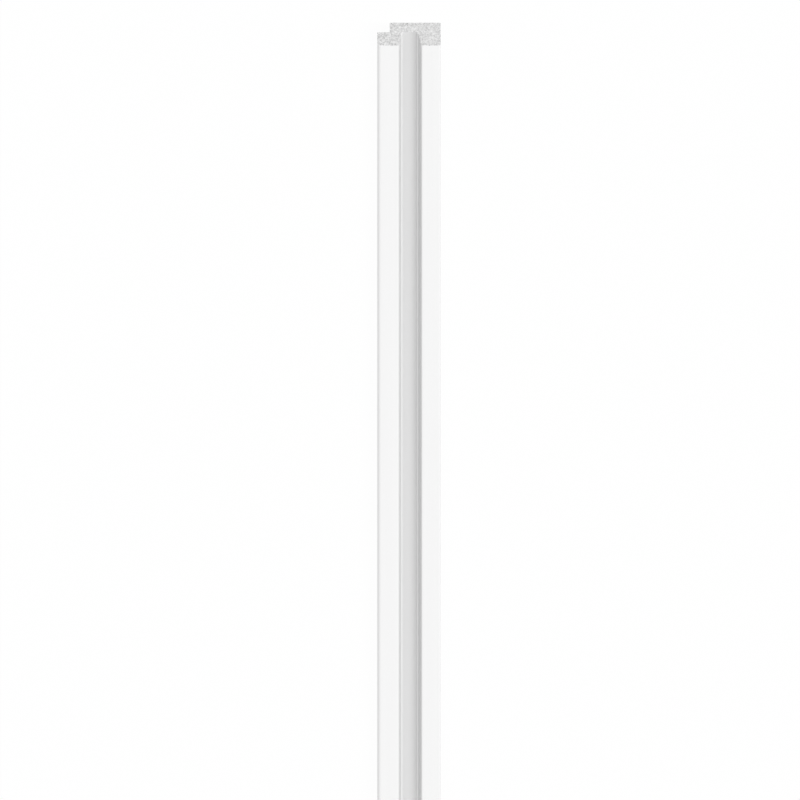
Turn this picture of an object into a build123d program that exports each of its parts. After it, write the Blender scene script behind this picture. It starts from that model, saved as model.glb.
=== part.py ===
from build123d import *
import math
import os

# Wall panel end trim: one length of extruded foam polymer that closes a run of slatted wall panels.
# Two slats stand out from a thin base with a shadow groove between them. The slat on the joint side
# overhangs the base, so that it laps over the tongue of the last panel. The back is flat, for glue.
#
# Frame: the trim lies on its back. X runs across it from the joint side to the free edge, Y along it
# and Z out of the wall. The origin is on the back, under the middle of the width and of the length.

# Driving dimensions, in millimetres and degrees
length = 2700.0
thickness = 12.0             # from the back to the fronts of the slats
base_thickness = 5.0         # from the back to the groove floor
joint_slat_width = 11.2      # slat fronts and groove mouth are measured between unrounded corners
groove_mouth_width = 11.0
edge_slat_width = 9.8
lap_width = 6.3              # how far the joint slat overhangs the base
joint_wall_draft = 5.0       # how far each groove wall leans from upright
edge_wall_draft = 12.0
joint_floor_radius = 1.0     # where the groove floor runs up into each wall
edge_floor_radius = 1.5
mouth_arris_radius = 1.1     # the long front edges are rounded at the groove's mouth
edge_arris_radius = 0.8      # and at the free edge
joint_bevel_width = 1.3      # and bevelled where the next panel meets the trim,
joint_bevel_height = 1.1
joint_bevel_radius = 2.0     # with a soft turn from the bevel into the slat front

# The tongue of the last panel is as thick as this trim's own base, so the lap is as high as the base.
lap_height = base_thickness

# Stations across the section
width = joint_slat_width + groove_mouth_width + edge_slat_width
groove_depth = thickness - base_thickness
joint_side = -width / 2
free_edge = width / 2
lap_shoulder = joint_side + lap_width
mouth_joint_side = joint_side + joint_slat_width
mouth_edge_side = free_edge - edge_slat_width
floor_joint_side = mouth_joint_side + groove_depth * math.tan(math.radians(joint_wall_draft))
floor_edge_side = mouth_edge_side - groove_depth * math.tan(math.radians(edge_wall_draft))
sharp = 0.0

# Corners of the section, round from the lap shoulder: across, out of the wall, radius
corners = [
    (lap_shoulder, 0.0, sharp),
    (free_edge, 0.0, sharp),
    (free_edge, thickness, edge_arris_radius),
    (mouth_edge_side, thickness, mouth_arris_radius),
    (floor_edge_side, base_thickness, edge_floor_radius),
    (floor_joint_side, base_thickness, joint_floor_radius),
    (mouth_joint_side, thickness, mouth_arris_radius),
    (joint_side + joint_bevel_width, thickness, joint_bevel_radius),
    (joint_side, thickness - joint_bevel_height, sharp),
    (joint_side, lap_height, sharp),
    (lap_shoulder, lap_height, sharp),
]

outline = FilletPolyline(
    [(across, out) for across, out, radius in corners],
    radius=[radius for across, out, radius in corners],
    close=True,
)
section = Plane.XZ * make_face(outline)
end_trim = extrude(section, amount=length / 2, both=True)

os.makedirs("parts", exist_ok=True)
export_step(end_trim, "parts/end_trim.step")
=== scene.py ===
import math

import bpy
import numpy as np
from mathutils import Matrix, Vector


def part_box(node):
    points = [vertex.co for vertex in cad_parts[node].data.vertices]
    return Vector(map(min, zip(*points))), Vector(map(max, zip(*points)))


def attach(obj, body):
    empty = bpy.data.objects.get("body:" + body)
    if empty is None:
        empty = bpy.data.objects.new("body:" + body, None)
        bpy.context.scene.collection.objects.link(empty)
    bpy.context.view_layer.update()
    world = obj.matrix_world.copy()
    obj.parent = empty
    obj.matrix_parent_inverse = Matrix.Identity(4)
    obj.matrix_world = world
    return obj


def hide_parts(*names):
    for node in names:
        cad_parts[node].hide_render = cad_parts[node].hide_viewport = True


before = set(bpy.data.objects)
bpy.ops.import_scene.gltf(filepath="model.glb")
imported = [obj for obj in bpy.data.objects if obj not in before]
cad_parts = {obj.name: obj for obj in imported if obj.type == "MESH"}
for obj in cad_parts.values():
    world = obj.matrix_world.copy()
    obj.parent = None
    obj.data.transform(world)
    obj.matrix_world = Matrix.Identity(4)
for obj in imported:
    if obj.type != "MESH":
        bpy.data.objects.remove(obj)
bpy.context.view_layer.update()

bl_info = {
    "name": "Wall Panel End Trim",
    "version": (1, 0, 0),
    "blender": (4, 5, 0),
    "location": "3D View > Sidebar > End Trim",
    "description": "Builds a sawn length of slatted wall panel trim and the studio it is shown in",
    "category": "Object",
}

# The box of the solids, taken before anything is added
trim_low, trim_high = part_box("end_trim")
trim_size = trim_high - trim_low

MM = 0.001


def linear(hex_colour):
    """A hex sRGB colour as linear red, green, blue and alpha, by the sRGB standard's curve."""
    channels = [int(hex_colour[i:i + 2], 16) / 255 for i in (1, 3, 5)]
    return [c / 12.92 if c <= 0.04045 else ((c + 0.055) / 1.055) ** 2.4 for c in channels] + [1.0]


def millimetres(name, description, value):
    """A length that a user can change, given here in millimetres."""
    return bpy.props.FloatProperty(
        name=name, description=description, default=value * MM, min=0.0, precision=5,
        subtype="DISTANCE", unit="LENGTH",
    )


def degrees(name, description, value):
    """An angle that a user can change, given here in degrees."""
    return bpy.props.FloatProperty(
        name=name, description=description, default=math.radians(value),
        subtype="ANGLE", unit="ROTATION",
    )


def colour(name, description, hex_colour):
    """A colour that a user can change, given here as hex sRGB."""
    return bpy.props.FloatVectorProperty(
        name=name, description=description, default=linear(hex_colour), size=4, min=0.0, max=1.0,
        subtype="COLOR",
    )


def amount(name, description, value):
    """A plain number that a user can change."""
    return bpy.props.FloatProperty(name=name, description=description, default=value, min=0.0)


class SectionSettings(bpy.types.PropertyGroup):
    """Sizes of the trim. Its width, thickness and length are those of the solid."""

    base_thickness: millimetres("Base thickness", "Back to groove floor, and the height of the lap", 5.0)
    joint_slat_width: millimetres("Joint slat", "Front of the slat that overhangs the lap", 11.2)
    edge_slat_width: millimetres("Edge slat", "Front of the slat at the free edge", 9.8)
    lap_width: millimetres("Lap width", "How far the joint slat overhangs the base", 6.3)
    joint_wall_draft: degrees("Joint wall draft", "Lean of the groove wall on the joint side", 5.0)
    edge_wall_draft: degrees("Edge wall draft", "Lean of the groove wall on the free edge's side", 12.0)
    joint_floor_radius: millimetres("Joint floor radius", "Groove floor into the joint-side wall", 1.0)
    edge_floor_radius: millimetres("Edge floor radius", "Groove floor into the free-edge wall", 1.5)
    mouth_arris_radius: millimetres("Mouth arris radius", "Long front edges at the groove's mouth", 1.1)
    edge_arris_radius: millimetres("Edge arris radius", "Long front edge at the free edge", 0.8)
    joint_bevel_width: millimetres("Joint bevel width", "Bevel where the next panel meets the trim", 1.3)
    joint_bevel_height: millimetres("Joint bevel height", "How far the bevel falls back", 1.1)
    joint_bevel_radius: millimetres("Joint bevel radius", "Turn from the bevel into the slat front", 2.0)
    tear_size: millimetres("Tear size", "Width of the torn curls of foam in the sawn ends", 1.1)
    tear_depth: millimetres("Tear depth", "Depth of the hollows between the curls", 0.25)
    chip_size: millimetres("Chip size", "Width of the crumbs broken out along the sawn edges", 0.8)
    chip_depth: millimetres("Chip depth", "Depth of the deepest broken crumb", 0.7)
    cut_grid: millimetres("Cut grid", "Spacing of the mesh on the sawn ends", 0.16)


class FinishSettings(bpy.types.PropertyGroup):
    """Colours of the trim's surfaces"""

    coat: colour("Coat", "White primer on the moulded faces", "#F5F5F5")
    coat_streak: colour("Coat streak", "Faint long streaks in the primer", "#F2F2F2")
    # Painted shade: this grey stands in for the shade down the sides, over the back and in the groove
    painted_shade_coat: colour("Thin coat", "Primer where the roller hardly reaches", "#D9D9D9")
    curl: colour("Curl", "Torn curls of foam in the sawn ends", "#F4F4F4")
    # Painted shade: this grey stands in for the shade in the hollows of the sawn ends
    hollow_shade: colour("Hollow", "Hollows between the curls", "#C4C4C4")


class StudioSettings(bpy.types.PropertyGroup):
    """Light and paper"""

    sky_strength: amount("Sky", "Even light from all round", 0.45)
    key_strength: amount("Key", "Soft light from above the free edge's side", 0.97)
    key_lean: degrees("Key lean", "Lean of the key light from overhead towards the free edge", 31.0)
    key_spread: degrees("Key spread", "How wide the key light looks from the trim", 30.0)
    fill_strength: amount("Fill", "Broad light from above the sawn end in view", 1.27)
    fill_lean: degrees("Fill lean", "Lean of the fill light from overhead towards that end", 42.0)
    fill_spread: degrees("Fill spread", "How wide the fill light looks from the trim", 50.0)
    paper: colour("Paper", "White paper that the trim lies on", "#F2F2F2")
    paper_white: amount("Paper white", "Share of plain white in the paper as the camera sees it", 0.97)


def section_corners(section):
    """The section's corners in order: how far across, how far out of the wall, and radius."""
    joint_side = trim_low.x
    free_edge = trim_high.x
    thickness = trim_size.z
    base = section.base_thickness
    depth = thickness - base
    shoulder = joint_side + section.lap_width
    mouth_joint = joint_side + section.joint_slat_width
    mouth_edge = free_edge - section.edge_slat_width
    floor_joint = mouth_joint + depth * math.tan(section.joint_wall_draft)
    floor_edge = mouth_edge - depth * math.tan(section.edge_wall_draft)
    bevel_front = joint_side + section.joint_bevel_width
    bevel_foot = thickness - section.joint_bevel_height
    sharp = 0.0
    return {
        "back at the lap": (shoulder, 0.0, sharp),
        "back at the free edge": (free_edge, 0.0, sharp),
        "front at the free edge": (free_edge, thickness, section.edge_arris_radius),
        "mouth on the free edge's side": (mouth_edge, thickness, section.mouth_arris_radius),
        "floor on the free edge's side": (floor_edge, base, section.edge_floor_radius),
        "floor on the joint side": (floor_joint, base, section.joint_floor_radius),
        "mouth on the joint side": (mouth_joint, thickness, section.mouth_arris_radius),
        "front at the bevel": (bevel_front, thickness, section.joint_bevel_radius),
        "joint side at the bevel": (joint_side, bevel_foot, sharp),
        "lap at the joint": (joint_side, base, sharp),
        "lap at the shoulder": (shoulder, base, sharp),
    }


def section_outline(corners):
    """A closed loop through the section's corners, each with its radius."""
    count = len(corners)
    mesh = bpy.data.meshes.new("section_outline")
    mesh.from_pydata(
        [(across, out, 0.0) for across, out, radius in corners.values()],
        [(i, (i + 1) % count) for i in range(count)],
        [],
    )
    radii = mesh.attributes.new("corner_radius", "FLOAT", "POINT")
    radii.data.foreach_set("value", [radius for across, out, radius in corners.values()])
    return mesh


def add(tree, kind, inputs=None, **settings):
    """Adds a node, sets its properties, fills its inputs with values or links and gives its outputs."""
    node = tree.nodes.new(kind)
    for name, value in settings.items():
        setattr(node, name, value)
    for key, value in (inputs or {}).items():
        for item in value if isinstance(value, list) else [value]:
            if isinstance(item, bpy.types.NodeSocket):
                tree.links.new(item, node.inputs[key])
            else:
                node.inputs[key].default_value = item
    return node.outputs


def new_material(name):
    """An empty node material and its tree."""
    material = bpy.data.materials.new(name)
    material.use_nodes = True
    material.node_tree.nodes.clear()
    return material, material.node_tree


def primed_polystyrene_skin(corners, finish):
    """White acrylic primer, put on with a roller over the smooth skin of extruded polystyrene foam.

    It looks dead matt and almost even. The slat fronts get the full coat. Down the sides, over the back
    and into the groove the colour turns to a grey of painted shade, lighter higher up and darkest from
    the groove floor's height down. The edges of the groove's mouth get a thin line of painted shade, and
    each corner of its floor a light line of painted highlight. Long faint streaks from the die run along
    the trim, and a fine stipple from the roller takes the edge off any shine.
    """
    mouth_radius = corners["mouth on the joint side"][2]
    floor_height = corners["floor on the joint side"][1]
    unshaded_height = trim_high.z - 0.2 * mouth_radius
    fully_shaded_height = trim_high.z - 1.35 * mouth_radius
    top_shade_lift = 0.58
    streak_width = 1.6 * MM
    streak_length = 400 * MM
    stipple_grain = 0.9 * MM
    stipple_height = 0.02 * MM
    material, tree = new_material("primed_polystyrene_skin")
    place = add(tree, "ShaderNodeTexCoord")["Object"]

    # Painted shade: full coat on the fronts, and below them a grey that lightens with height
    height = add(tree, "ShaderNodeSeparateXYZ", {"Vector": place})["Z"]
    unshaded_front = add(tree, "ShaderNodeMapRange", {
        "Value": height, "From Min": fully_shaded_height, "From Max": unshaded_height,
    })["Result"]
    shade_lift_by_height = add(tree, "ShaderNodeMapRange", {
        "Value": height, "From Min": floor_height, "From Max": trim_high.z, "To Max": top_shade_lift,
    })["Result"]
    # primer is the share of full coat, and the rest is the grey of painted shade
    primer = add(tree, "ShaderNodeMath", {0: unshaded_front, 1: shade_lift_by_height}, operation="MAXIMUM")["Value"]

    # Painted lines along corners: shade at the groove's mouth and highlight along its floor,
    # all of it within the first distance and none past the second
    on_section = add(tree, "ShaderNodeVectorMath", {0: place, 1: (1.0, 0.0, 1.0)},
                     operation="MULTIPLY")["Vector"]
    for corner, gain, full_reach, last_reach in (
        ("mouth on the joint side", -0.5, 0.35 * MM, 0.65 * MM),
        ("mouth on the free edge's side", -0.5, 0.35 * MM, 0.65 * MM),
        ("floor on the joint side", 0.47, 0.7 * MM, 1.5 * MM),
        ("floor on the free edge's side", 0.95, 0.4 * MM, 0.72 * MM),
    ):
        across, out = corners[corner][:2]
        from_corner = add(tree, "ShaderNodeVectorMath", {0: on_section, 1: (across, 0.0, out)},
                          operation="DISTANCE")["Value"]
        painted_line = add(tree, "ShaderNodeMapRange", {
            "Value": from_corner, "From Min": full_reach, "From Max": last_reach,
            "To Min": gain, "To Max": 0.0,
        }, interpolation_type="SMOOTHSTEP")["Result"]
        primer = add(tree, "ShaderNodeMath", {0: primer, 1: painted_line}, operation="ADD")["Value"]

    # Finish: streaks in the full coat, and stipple over all of it
    along = add(tree, "ShaderNodeMapping", {
        "Vector": place, "Scale": (1 / streak_width, 1 / streak_length, 1 / streak_width),
    })["Vector"]
    streaks = add(tree, "ShaderNodeTexNoise", {"Vector": along, "Scale": 1.0, "Detail": 3.0})["Fac"]
    stipple = add(tree, "ShaderNodeTexNoise", {
        "Vector": place, "Scale": 1 / stipple_grain, "Detail": 2.0,
    })["Fac"]
    full_coat = add(tree, "ShaderNodeMix", {
        "Factor": streaks, "A": tuple(finish.coat), "B": tuple(finish.coat_streak),
    }, data_type="RGBA")["Result"]
    shade = add(tree, "ShaderNodeMix", {
        "Factor": primer, "A": tuple(finish.painted_shade_coat), "B": full_coat,
    }, data_type="RGBA")["Result"]
    roughness = add(tree, "ShaderNodeMapRange", {
        "Value": stipple, "To Min": 0.82, "To Max": 0.95,
    })["Result"]
    bump = add(tree, "ShaderNodeBump", {
        "Height": stipple, "Strength": 0.25, "Distance": stipple_height,
    })["Normal"]
    surface = add(tree, "ShaderNodeBsdfPrincipled", {
        "Base Color": shade, "Roughness": roughness, "Normal": bump, "IOR": 1.49,
    })["BSDF"]
    add(tree, "ShaderNodeOutputMaterial", {"Surface": surface})
    return material


def sawn_polystyrene_foam(finish):
    """Bare polystyrene foam, cut with a fine saw.

    The saw tears the foam into fine curls with hollows between them. The colour darkens with depth
    into the hollows as painted shade, and varies at random, so the end looks speckled and greyer than
    the primed faces.
    """
    mottle_grain = 0.6 * MM
    mottle_share = 0.25
    noise_low = 0.3
    noise_high = 0.7
    material, tree = new_material("sawn_polystyrene_foam")
    place = add(tree, "ShaderNodeTexCoord")["Object"]
    # Depth into the hollows, which darkens the colour there as painted shade
    depth = add(tree, "ShaderNodeAttribute", attribute_name="tear_share")["Fac"]
    mottle = add(tree, "ShaderNodeTexNoise", {
        "Vector": place, "Scale": 1 / mottle_grain, "Detail": 2.0,
    })["Fac"]
    mottled = add(tree, "ShaderNodeMapRange", {
        "Value": mottle, "From Min": noise_low, "From Max": noise_high,
        "To Min": -mottle_share, "To Max": mottle_share,
    })["Result"]
    shade_and_mottle = add(tree, "ShaderNodeMath", {0: depth, 1: mottled}, operation="ADD",
                       use_clamp=True)["Value"]
    shade = add(tree, "ShaderNodeMix", {
        "Factor": shade_and_mottle, "A": tuple(finish.curl), "B": tuple(finish.hollow_shade),
    }, data_type="RGBA")["Result"]
    surface = add(tree, "ShaderNodeBsdfPrincipled", {
        "Base Color": shade, "Roughness": 0.9, "IOR": 1.59,
    })["BSDF"]
    add(tree, "ShaderNodeOutputMaterial", {"Surface": surface})
    return material


def swept_stock(tree, given, half_length):
    """The section, each corner rounded to its own radius, swept upright past both ends of the trim."""
    outline = add(tree, "GeometryNodeMeshToCurve", {"Mesh": given["Section"]})["Curve"]
    radius = add(tree, "GeometryNodeInputNamedAttribute", {"Name": "corner_radius"},
                 data_type="FLOAT")["Attribute"]
    rounded = add(tree, "GeometryNodeFilletCurve", {
        "Curve": outline, "Count": given["Arc Steps"], "Radius": radius,
    }, mode="POLY")["Curve"]
    reach = add(tree, "ShaderNodeMath", {0: half_length, 1: given["Saw Allowance"]},
                operation="ADD")["Value"]
    top = add(tree, "ShaderNodeCombineXYZ", {"Z": reach})["Vector"]
    bottom = add(tree, "ShaderNodeVectorMath", {0: top, "Scale": -1.0}, operation="SCALE")["Vector"]
    path = add(tree, "GeometryNodeCurvePrimitiveLine", {"Start": bottom, "End": top})["Curve"]
    ring_count = add(tree, "ShaderNodeMath", {0: given["Bays"], 1: 1.0}, operation="ADD")["Value"]
    rings = add(tree, "GeometryNodeResampleCurve", {"Curve": path, "Count": ring_count})["Curve"]
    return add(tree, "GeometryNodeCurveToMesh", {
        "Curve": rings, "Profile Curve": rounded, "Fill Caps": True,
    })["Mesh"]


def torn_share(tree, given, place, grain_place):
    """How far each point of a cut is torn in: curls with hollows between, harsher towards the joint."""
    noise_middle = 0.5
    harsh_band = 0.16
    mild_band = 0.28
    curls_per_metre = add(tree, "ShaderNodeMath", {0: 1.0, 1: given["Tear Size"]},
                          operation="DIVIDE")["Value"]
    curls = add(tree, "ShaderNodeTexNoise", {
        "Vector": grain_place, "Scale": curls_per_metre, "Detail": 2.0, "Distortion": 1.0,
    })["Fac"]
    # Curls turn into hollows where the noise crosses a band round its middle, harshly if that is narrow
    band = add(tree, "ShaderNodeMapRange", {
        "Value": place["X"], "From Min": trim_low.x, "From Max": trim_high.x,
        "To Min": harsh_band, "To Max": mild_band,
    })["Result"]
    least = add(tree, "ShaderNodeMath", {0: noise_middle, 1: band}, operation="SUBTRACT")["Value"]
    most = add(tree, "ShaderNodeMath", {0: noise_middle, 1: band}, operation="ADD")["Value"]
    return add(tree, "ShaderNodeMapRange", {"Value": curls, "From Min": least, "From Max": most})["Result"]


def broken_share(tree, given, place, grain_place):
    """How far each point of a cut is broken out: crumbs along the back, the fronts and both sides."""
    least_crumble = 0.55
    full_crumble = 0.75
    outer_edges = add(tree, "GeometryNodeBoundBox", {"Geometry": given["Section"]})["Bounding Box"]
    on_section = add(tree, "ShaderNodeCombineXYZ", {"X": place["X"], "Y": place["Y"]})["Vector"]
    edge_distance = add(tree, "GeometryNodeProximity", {
        "Geometry": outer_edges, "Sample Position": on_section,
    }, target_element="EDGES")["Distance"]
    near_edge = add(tree, "ShaderNodeMapRange", {
        "Value": edge_distance, "From Max": given["Chip Size"], "To Min": 1.0, "To Max": 0.0,
    }, interpolation_type="SMOOTHSTEP")["Result"]
    chips_per_metre = add(tree, "ShaderNodeMath", {0: 1.0, 1: given["Chip Size"]},
                          operation="DIVIDE")["Value"]
    crumble = add(tree, "ShaderNodeTexNoise", {
        "Vector": grain_place, "Scale": chips_per_metre, "Detail": 1.0,
    })["Fac"]
    crumbs = add(tree, "ShaderNodeMapRange", {
        "Value": crumble, "From Min": least_crumble, "From Max": full_crumble,
    }, interpolation_type="SMOOTHSTEP")["Result"]
    return add(tree, "ShaderNodeMath", {0: crumbs, 1: near_edge}, operation="MULTIPLY")["Value"]


def rough_saw(tree, given, place, sunk):
    """A box as long as the trim, with a fine grid on both ends that is sunk in at each point."""
    box = add(tree, "ShaderNodeSeparateXYZ", {"Vector": given["Saw Box"]})
    columns = add(tree, "ShaderNodeMath", {0: box["X"], 1: given["Cut Grid"]}, operation="DIVIDE")["Value"]
    rows = add(tree, "ShaderNodeMath", {0: box["Y"], 1: given["Cut Grid"]}, operation="DIVIDE")["Value"]
    smooth_box = add(tree, "GeometryNodeMeshCube", {
        "Size": given["Saw Box"], "Vertices X": columns, "Vertices Y": rows, "Vertices Z": 2,
    })["Mesh"]
    placed = add(tree, "GeometryNodeTransform", {
        "Geometry": smooth_box, "Translation": given["Saw Place"],
    })["Geometry"]
    upper_end = add(tree, "ShaderNodeMath", {0: place["Z"]}, operation="SIGN")["Value"]
    inward = add(tree, "ShaderNodeMath", {0: upper_end, 1: -1.0}, operation="MULTIPLY")["Value"]
    shift = add(tree, "ShaderNodeMath", {0: sunk, 1: inward}, operation="MULTIPLY")["Value"]
    offset = add(tree, "ShaderNodeCombineXYZ", {"Z": shift})["Vector"]
    return add(tree, "GeometryNodeSetPosition", {"Geometry": placed, "Offset": offset})["Geometry"]


def marked_cuts(tree, given, sawn, place, half_length):
    """The trim with its cut faces marked and each point's depth below the saw's line, in tear depths."""
    least_facing = 0.1
    normal = add(tree, "GeometryNodeInputNormal")["Normal"]
    facing = add(tree, "ShaderNodeSeparateXYZ", {"Vector": normal})["Z"]
    lengthwise = add(tree, "ShaderNodeMath", {0: facing}, operation="ABSOLUTE")["Value"]
    at_end = add(tree, "ShaderNodeMath", {0: lengthwise, 1: least_facing},
                 operation="GREATER_THAN")["Value"]
    marked = add(tree, "GeometryNodeStoreNamedAttribute", {
        "Geometry": sawn, "Name": "cut_face", "Value": at_end,
    }, data_type="FLOAT", domain="FACE")["Geometry"]
    from_middle = add(tree, "ShaderNodeMath", {0: place["Z"]}, operation="ABSOLUTE")["Value"]
    below_line = add(tree, "ShaderNodeMath", {0: half_length, 1: from_middle},
                     operation="SUBTRACT")["Value"]
    depth_share = add(tree, "ShaderNodeMath", {0: below_line, 1: given["Tear Depth"]},
                      operation="DIVIDE")["Value"]
    return add(tree, "GeometryNodeStoreNamedAttribute", {
        "Geometry": marked, "Name": "tear_share", "Value": depth_share,
    }, data_type="FLOAT", domain="POINT")["Geometry"]


def creased(tree, marked, cut_face):
    """The trim shaded smooth, but sharp where its skin turns a corner or ends at a cut."""
    least_turn = math.radians(30)
    # An edge has the mean of its two faces' marks, which is 1 only between two cut faces
    between_cuts = 0.9
    turn = add(tree, "GeometryNodeInputMeshEdgeAngle")["Unsigned Angle"]
    corner = add(tree, "ShaderNodeMath", {0: turn, 1: least_turn}, operation="GREATER_THAN")["Value"]
    on_skin = add(tree, "ShaderNodeMath", {0: cut_face, 1: between_cuts}, operation="LESS_THAN")["Value"]
    sharp = add(tree, "ShaderNodeMath", {0: corner, 1: on_skin}, operation="MULTIPLY")["Value"]
    smooth = add(tree, "GeometryNodeSetShadeSmooth", {"Geometry": marked})["Geometry"]
    return add(tree, "GeometryNodeSetShadeSmooth", {
        "Geometry": smooth, "Selection": sharp, "Shade Smooth": False,
    }, domain="EDGE")["Geometry"]


def sawn_extrusion_tree():
    """Nodes that sweep a section upright, saw it to length with a rough cut and lay it on its back."""
    merge_distance = 0.002 * MM
    quarter_turn = math.pi / 2
    tree = bpy.data.node_groups.new("sawn_extrusion", "GeometryNodeTree")
    tree.is_modifier = True
    for name, kind in (
        ("Section", "NodeSocketGeometry"),
        ("Length", "NodeSocketFloat"),
        ("Saw Allowance", "NodeSocketFloat"),
        ("Bays", "NodeSocketInt"),
        ("Arc Steps", "NodeSocketInt"),
        ("Saw Box", "NodeSocketVector"),
        ("Saw Place", "NodeSocketVector"),
        ("Cut Grid", "NodeSocketFloat"),
        ("Tear Size", "NodeSocketFloat"),
        ("Tear Depth", "NodeSocketFloat"),
        ("Chip Size", "NodeSocketFloat"),
        ("Chip Depth", "NodeSocketFloat"),
        ("Seed", "NodeSocketFloat"),
        ("Skin", "NodeSocketMaterial"),
        ("Cut", "NodeSocketMaterial"),
    ):
        tree.interface.new_socket(name, in_out="INPUT", socket_type=kind)
    tree.interface.new_socket("Trim", in_out="OUTPUT", socket_type="NodeSocketGeometry")
    given = add(tree, "NodeGroupInput")
    half_length = add(tree, "ShaderNodeMath", {0: given["Length"], 1: 0.5}, operation="MULTIPLY")["Value"]
    position = add(tree, "GeometryNodeInputPosition")["Position"]
    place = add(tree, "ShaderNodeSeparateXYZ", {"Vector": position})
    grain_place = add(tree, "ShaderNodeVectorMath", {0: position, 1: given["Seed"]},
                      operation="ADD")["Vector"]

    # Saw: what lies inside the roughened box stays
    torn = torn_share(tree, given, place, grain_place)
    broken = broken_share(tree, given, place, grain_place)
    tear = add(tree, "ShaderNodeMath", {0: torn, 1: given["Tear Depth"]}, operation="MULTIPLY")["Value"]
    sunk = add(tree, "ShaderNodeMath", {0: broken, 1: given["Chip Depth"], 2: tear},
               operation="MULTIPLY_ADD")["Value"]
    stock = swept_stock(tree, given, half_length)
    saw = rough_saw(tree, given, place, sunk)
    rough_cut = add(tree, "GeometryNodeMeshBoolean", {"Mesh 2": [stock, saw]},
                    operation="INTERSECT", solver="EXACT")["Mesh"]
    sawn = add(tree, "GeometryNodeMergeByDistance", {
        "Geometry": rough_cut, "Distance": merge_distance,
    })["Geometry"]

    # Finish: the section's outward direction turns up, and cut faces get a material of their own
    marked = marked_cuts(tree, given, sawn, place, half_length)
    cut_face = add(tree, "GeometryNodeInputNamedAttribute", {"Name": "cut_face"},
                   data_type="FLOAT")["Attribute"]
    laid = add(tree, "GeometryNodeTransform", {
        "Geometry": creased(tree, marked, cut_face), "Rotation": (quarter_turn, 0.0, 0.0),
    })["Geometry"]
    real = add(tree, "GeometryNodeRealizeInstances", {"Geometry": laid})["Geometry"]
    skinned = add(tree, "GeometryNodeSetMaterial", {
        "Geometry": real, "Material": given["Skin"],
    })["Geometry"]
    finished = add(tree, "GeometryNodeSetMaterial", {
        "Geometry": skinned, "Selection": cut_face, "Material": given["Cut"],
    })["Geometry"]
    add(tree, "NodeGroupOutput", {"Trim": finished})
    return tree


def plain_mesh(piece, name):
    """The piece as its modifiers leave it, as a mesh of its own."""
    evaluated = piece.evaluated_get(bpy.context.evaluated_depsgraph_get())
    mesh = bpy.data.meshes.new_from_object(evaluated)
    mesh.name = name
    return mesh


def girth_strips(mesh, spots, first_corner):
    """Start, step, length and distance round the trim of each strip of its skin, from a corner on."""
    tolerance = 0.01 * MM
    in_middle = np.abs(spots[:, 1]) < tolerance
    neighbours = {}
    for edge in mesh.edges:
        first, second = edge.vertices
        if in_middle[first] and in_middle[second]:
            neighbours.setdefault(first, []).append(second)
            neighbours.setdefault(second, []).append(first)
    ring = [min(neighbours, key=lambda point: math.dist(spots[point, [0, 2]], first_corner))]
    while len(ring) < len(neighbours):
        ring.append(next(point for point in neighbours[ring[-1]] if point not in ring))
    starts = spots[ring][:, [0, 2]]
    steps = np.roll(starts, -1, axis=0) - starts
    lengths = np.linalg.norm(steps, axis=1)
    return starts, steps, lengths, np.cumsum(lengths) - lengths


def lay_out_bake_map(mesh, first_corner, row_length, rows):
    """A map without overlaps: the skin unrolled in rows, and above them both cuts, larger."""
    skin_share = 0.8
    cut_share = 0.5
    gap = 0.004
    spots = np.empty(3 * len(mesh.vertices))
    mesh.vertices.foreach_get("co", spots)
    spots = spots.reshape(-1, 3)
    middles = np.empty(3 * len(mesh.polygons))
    mesh.polygons.foreach_get("center", middles)
    middles = middles.reshape(-1, 3)
    corner_counts = np.empty(len(mesh.polygons), np.int32)
    mesh.polygons.foreach_get("loop_total", corner_counts)
    corner_points = np.empty(len(mesh.loops), np.int32)
    mesh.loops.foreach_get("vertex_index", corner_points)
    faces = np.repeat(np.arange(len(mesh.polygons)), corner_counts)
    across, along, out = spots[corner_points].T

    # Skin: each face belongs to the strip nearest its middle
    starts, steps, lengths, girths = girth_strips(mesh, spots, first_corner)
    offsets = middles[:, None, [0, 2]] - starts
    shares = np.clip((offsets * steps).sum(axis=2) / lengths ** 2, 0.0, 1.0)
    strips = np.linalg.norm(offsets - shares[:, :, None] * steps, axis=2).argmin(axis=1)[faces]
    in_strip = ((np.stack([across, out], axis=1) - starts[strips]) * steps[strips]).sum(axis=1)
    round_share = (girths[strips] + in_strip / lengths[strips]) / lengths.sum()
    row = np.floor(middles[:, 1] / row_length)[faces]
    u = gap + (1 - 2 * gap) * (along / row_length - row)
    v = skin_share / rows * (row + rows / 2) + gap + (skin_share / rows - 2 * gap) * round_share

    # Cuts: seen from outside, side by side
    materials = np.empty(len(mesh.polygons), np.int32)
    mesh.polygons.foreach_get("material_index", materials)
    cut = (materials == mesh.materials.find("sawn_polystyrene_foam"))[faces]
    far_end = along < 0
    across_share = np.where(far_end, across - trim_low.x, trim_high.x - across) / trim_size.x
    cut_width = cut_share - 2 * gap
    cut_height = cut_width * trim_size.z / trim_size.x
    u = np.where(cut, gap + cut_share * far_end + cut_width * across_share, u)
    v = np.where(cut, skin_share + gap + cut_height * out / trim_size.z, v)
    layer = mesh.uv_layers.new(name="OFBake")
    layer.uv.foreach_set("vector", np.stack([u, v], axis=1).ravel())


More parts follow.
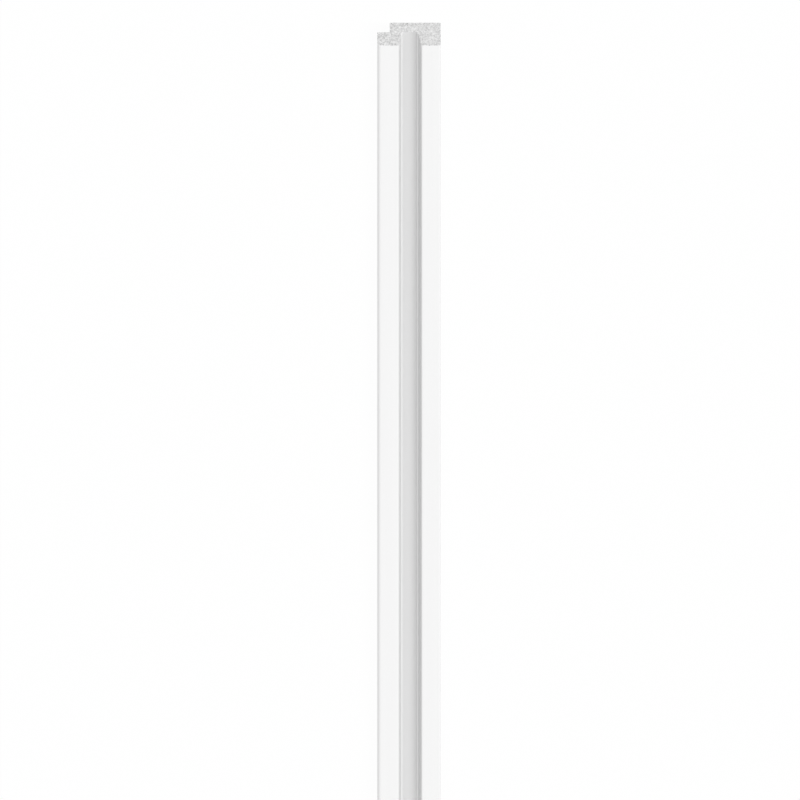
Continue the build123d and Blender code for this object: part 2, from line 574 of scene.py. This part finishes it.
class END_TRIM_OT_build_trim(bpy.types.Operator):
    """Sweeps the section, saws it to length and finishes the skin and the cuts"""

    bl_idname = "end_trim.build_trim"
    bl_label = "Build trim"

    def execute(self, context):
        section = context.scene.end_trim_section
        finish = context.scene.end_trim_finish
        corners = section_corners(section)
        saw_margin = 4 * MM
        saw_allowance = 50 * MM
        # Whole bays fill each row of the bake map, and an even number of rows puts a ring in the middle
        map_rows = 4
        bays_a_row = 7
        bays = map_rows * bays_a_row
        bay = (trim_size.y + 2 * saw_allowance) / bays
        inputs = {
            "Length": trim_size.y,
            "Saw Allowance": saw_allowance,
            "Bays": bays,
            "Arc Steps": 10,
            "Saw Box": (trim_size.x + 2 * saw_margin, trim_size.z + 2 * saw_margin, trim_size.y),
            "Saw Place": (0.0, trim_size.z / 2, 0.0),
            "Cut Grid": section.cut_grid,
            "Tear Size": section.tear_size,
            "Tear Depth": section.tear_depth,
            "Chip Size": section.chip_size,
            "Chip Depth": section.chip_depth,
            "Seed": 0.37,
            "Skin": primed_polystyrene_skin(corners, finish),
            "Cut": sawn_polystyrene_foam(finish),
        }
        tree = sawn_extrusion_tree()
        piece = bpy.data.objects.new("sawn_trim", section_outline(corners))
        context.scene.collection.objects.link(piece)
        modifier = piece.modifiers.new("sawn_extrusion", "NODES")
        modifier.node_group = tree
        for socket in tree.interface.items_tree:
            if socket.name in inputs:
                modifier[socket.identifier] = inputs[socket.name]
        # Normals follow the broad faces, so flats stay flat beside their rounded edges
        weighted = piece.modifiers.new("weighted_normals", "WEIGHTED_NORMAL")
        weighted.keep_sharp = True
        mesh = plain_mesh(piece, "sawn_trim")
        piece.modifiers.clear()
        piece.data = mesh
        if not mesh.polygons:
            raise RuntimeError("the trim came out empty")
        lay_out_bake_map(mesh, corners["back at the lap"][:2], bays_a_row * bay, map_rows)
        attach(piece, "root")
        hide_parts("end_trim")
        return {"FINISHED"}


def seen_directly(tree):
    """1 for what the camera sees, straight or in a mirror or through glass, and 0 for light."""
    path = add(tree, "ShaderNodeLightPath")
    straight = add(tree, "ShaderNodeMath", {0: path["Is Camera Ray"], 1: path["Is Glossy Ray"]},
                   operation="MAXIMUM")["Value"]
    return add(tree, "ShaderNodeMath", {0: straight, 1: path["Is Transmission Ray"]},
               operation="MAXIMUM")["Value"]


def studio_paper(studio):
    """White paper. The camera sees it nearly plain white, with a trace of the trim's shadow."""
    material, tree = new_material("studio_paper")
    white_share = add(tree, "ShaderNodeMath", {0: seen_directly(tree), 1: studio.paper_white},
                      operation="MULTIPLY")["Value"]
    paper = add(tree, "ShaderNodeBsdfDiffuse", {"Color": tuple(studio.paper)})["BSDF"]
    white = add(tree, "ShaderNodeEmission", {"Strength": 1.0})["Emission"]
    surface = add(tree, "ShaderNodeMixShader", {0: white_share, 1: paper, 2: white})["Shader"]
    add(tree, "ShaderNodeOutputMaterial", {"Surface": surface})
    material.cycles.emission_sampling = "NONE"
    return material


def studio_world(studio):
    """Even light all round, white where the camera sees it."""
    world = bpy.data.worlds.new("studio")
    world.use_nodes = True
    tree = world.node_tree
    tree.nodes.clear()
    plain_white = (1.0, 1.0, 1.0, 1.0)
    light = add(tree, "ShaderNodeBackground", {
        "Color": plain_white, "Strength": studio.sky_strength,
    })["Background"]
    white = add(tree, "ShaderNodeBackground", {"Color": plain_white, "Strength": 1.0})["Background"]
    surface = add(tree, "ShaderNodeMixShader", {0: seen_directly(tree), 1: light, 2: white})["Shader"]
    add(tree, "ShaderNodeOutputWorld", {"Surface": surface})
    return world


class END_TRIM_OT_build_studio(bpy.types.Operator):
    """Lays white paper under the trim and sets the light and the camera"""

    bl_idname = "end_trim.build_studio"
    bl_label = "Build studio"

    def execute(self, context):
        scene = context.scene
        studio = scene.end_trim_studio
        scene.view_settings.view_transform = "Standard"
        scene.world = studio_world(studio)

        # A hair below the trim's back, so that the two faces do not share a plane
        level = -0.05 * MM
        reach = 4 * trim_size.y
        mesh = bpy.data.meshes.new("paper")
        mesh.from_pydata(
            [(x * reach, y * reach, level) for x, y in ((-1, -1), (1, -1), (1, 1), (-1, 1))],
            [], [(0, 1, 2, 3)],
        )
        mesh.materials.append(studio_paper(studio))
        paper = bpy.data.objects.new("paper", mesh)
        scene.collection.objects.link(paper)

        for name, strength, turn, spread in (
            ("key", studio.key_strength, (0.0, studio.key_lean, 0.0), studio.key_spread),
            ("fill", studio.fill_strength, (-studio.fill_lean, 0.0, 0.0), studio.fill_spread),
        ):
            lamp = bpy.data.lights.new(name, "SUN")
            lamp.energy = strength
            lamp.angle = spread
            light = bpy.data.objects.new(name, lamp)
            light.rotation_euler = turn
            scene.collection.objects.link(light)

        # The photograph is a parallel view. Its pixels give the scale and the tilt of the sawn end.
        photo_side = 800
        joint_side_px = 377.3
        free_edge_px = 440.6
        end_back_px = 22.67
        end_front_px = 45.37
        pixel = trim_size.x / (free_edge_px - joint_side_px)
        tilt = math.asin((end_front_px - end_back_px) * pixel / trim_size.z)
        right = Vector((1.0, 0.0, 0.0))
        up = Vector((0.0, math.cos(tilt), -math.sin(tilt)))
        back = right.cross(up)
        front_corner = Vector((trim_low.x, trim_high.y, trim_high.z))
        centre_right = front_corner.dot(right) + (photo_side / 2 - joint_side_px) * pixel
        centre_up = front_corner.dot(up) + (end_front_px - photo_side / 2) * pixel
        camera_distance = 1.5 * trim_size.y
        camera = bpy.data.objects.new("camera", bpy.data.cameras.new("camera"))
        camera.data.type = "ORTHO"
        camera.data.ortho_scale = photo_side * pixel
        camera.data.clip_end = 100.0
        axes = Matrix((right, up, back)).transposed().to_4x4()
        camera.matrix_world = Matrix.Translation(
            right * centre_right + up * centre_up + back * camera_distance
        ) @ axes
        scene.collection.objects.link(camera)
        scene.camera = camera
        return {"FINISHED"}


class END_TRIM_PT_panel(bpy.types.Panel):
    """Lists the trim's sizes and finishes and the studio's settings, and builds both"""

    bl_idname = "END_TRIM_PT_panel"
    bl_label = "End Trim"
    bl_space_type = "VIEW_3D"
    bl_region_type = "UI"
    bl_category = "End Trim"

    def draw(self, context):
        for group, operator in (
            ("end_trim_section", None),
            ("end_trim_finish", END_TRIM_OT_build_trim.bl_idname),
            ("end_trim_studio", END_TRIM_OT_build_studio.bl_idname),
        ):
            settings = getattr(context.scene, group)
            column = self.layout.column()
            for name in settings.bl_rna.properties.keys():
                if name not in ("rna_type", "name"):
                    column.prop(settings, name)
            if operator:
                column.operator(operator)


groups = {
    "end_trim_section": SectionSettings,
    "end_trim_finish": FinishSettings,
    "end_trim_studio": StudioSettings,
}
classes = (END_TRIM_OT_build_trim, END_TRIM_OT_build_studio, END_TRIM_PT_panel)


def register():
    for name, group in groups.items():
        bpy.utils.register_class(group)
        setattr(bpy.types.Scene, name, bpy.props.PointerProperty(type=group))
    for item in classes:
        bpy.utils.register_class(item)


def unregister():
    for item in reversed(classes):
        bpy.utils.unregister_class(item)
    for name, group in reversed(groups.items()):
        delattr(bpy.types.Scene, name)
        bpy.utils.unregister_class(group)


def main():
    register()
    bpy.ops.end_trim.build_trim()
    bpy.ops.end_trim.build_studio()


if __name__ == "__main__":
    main()
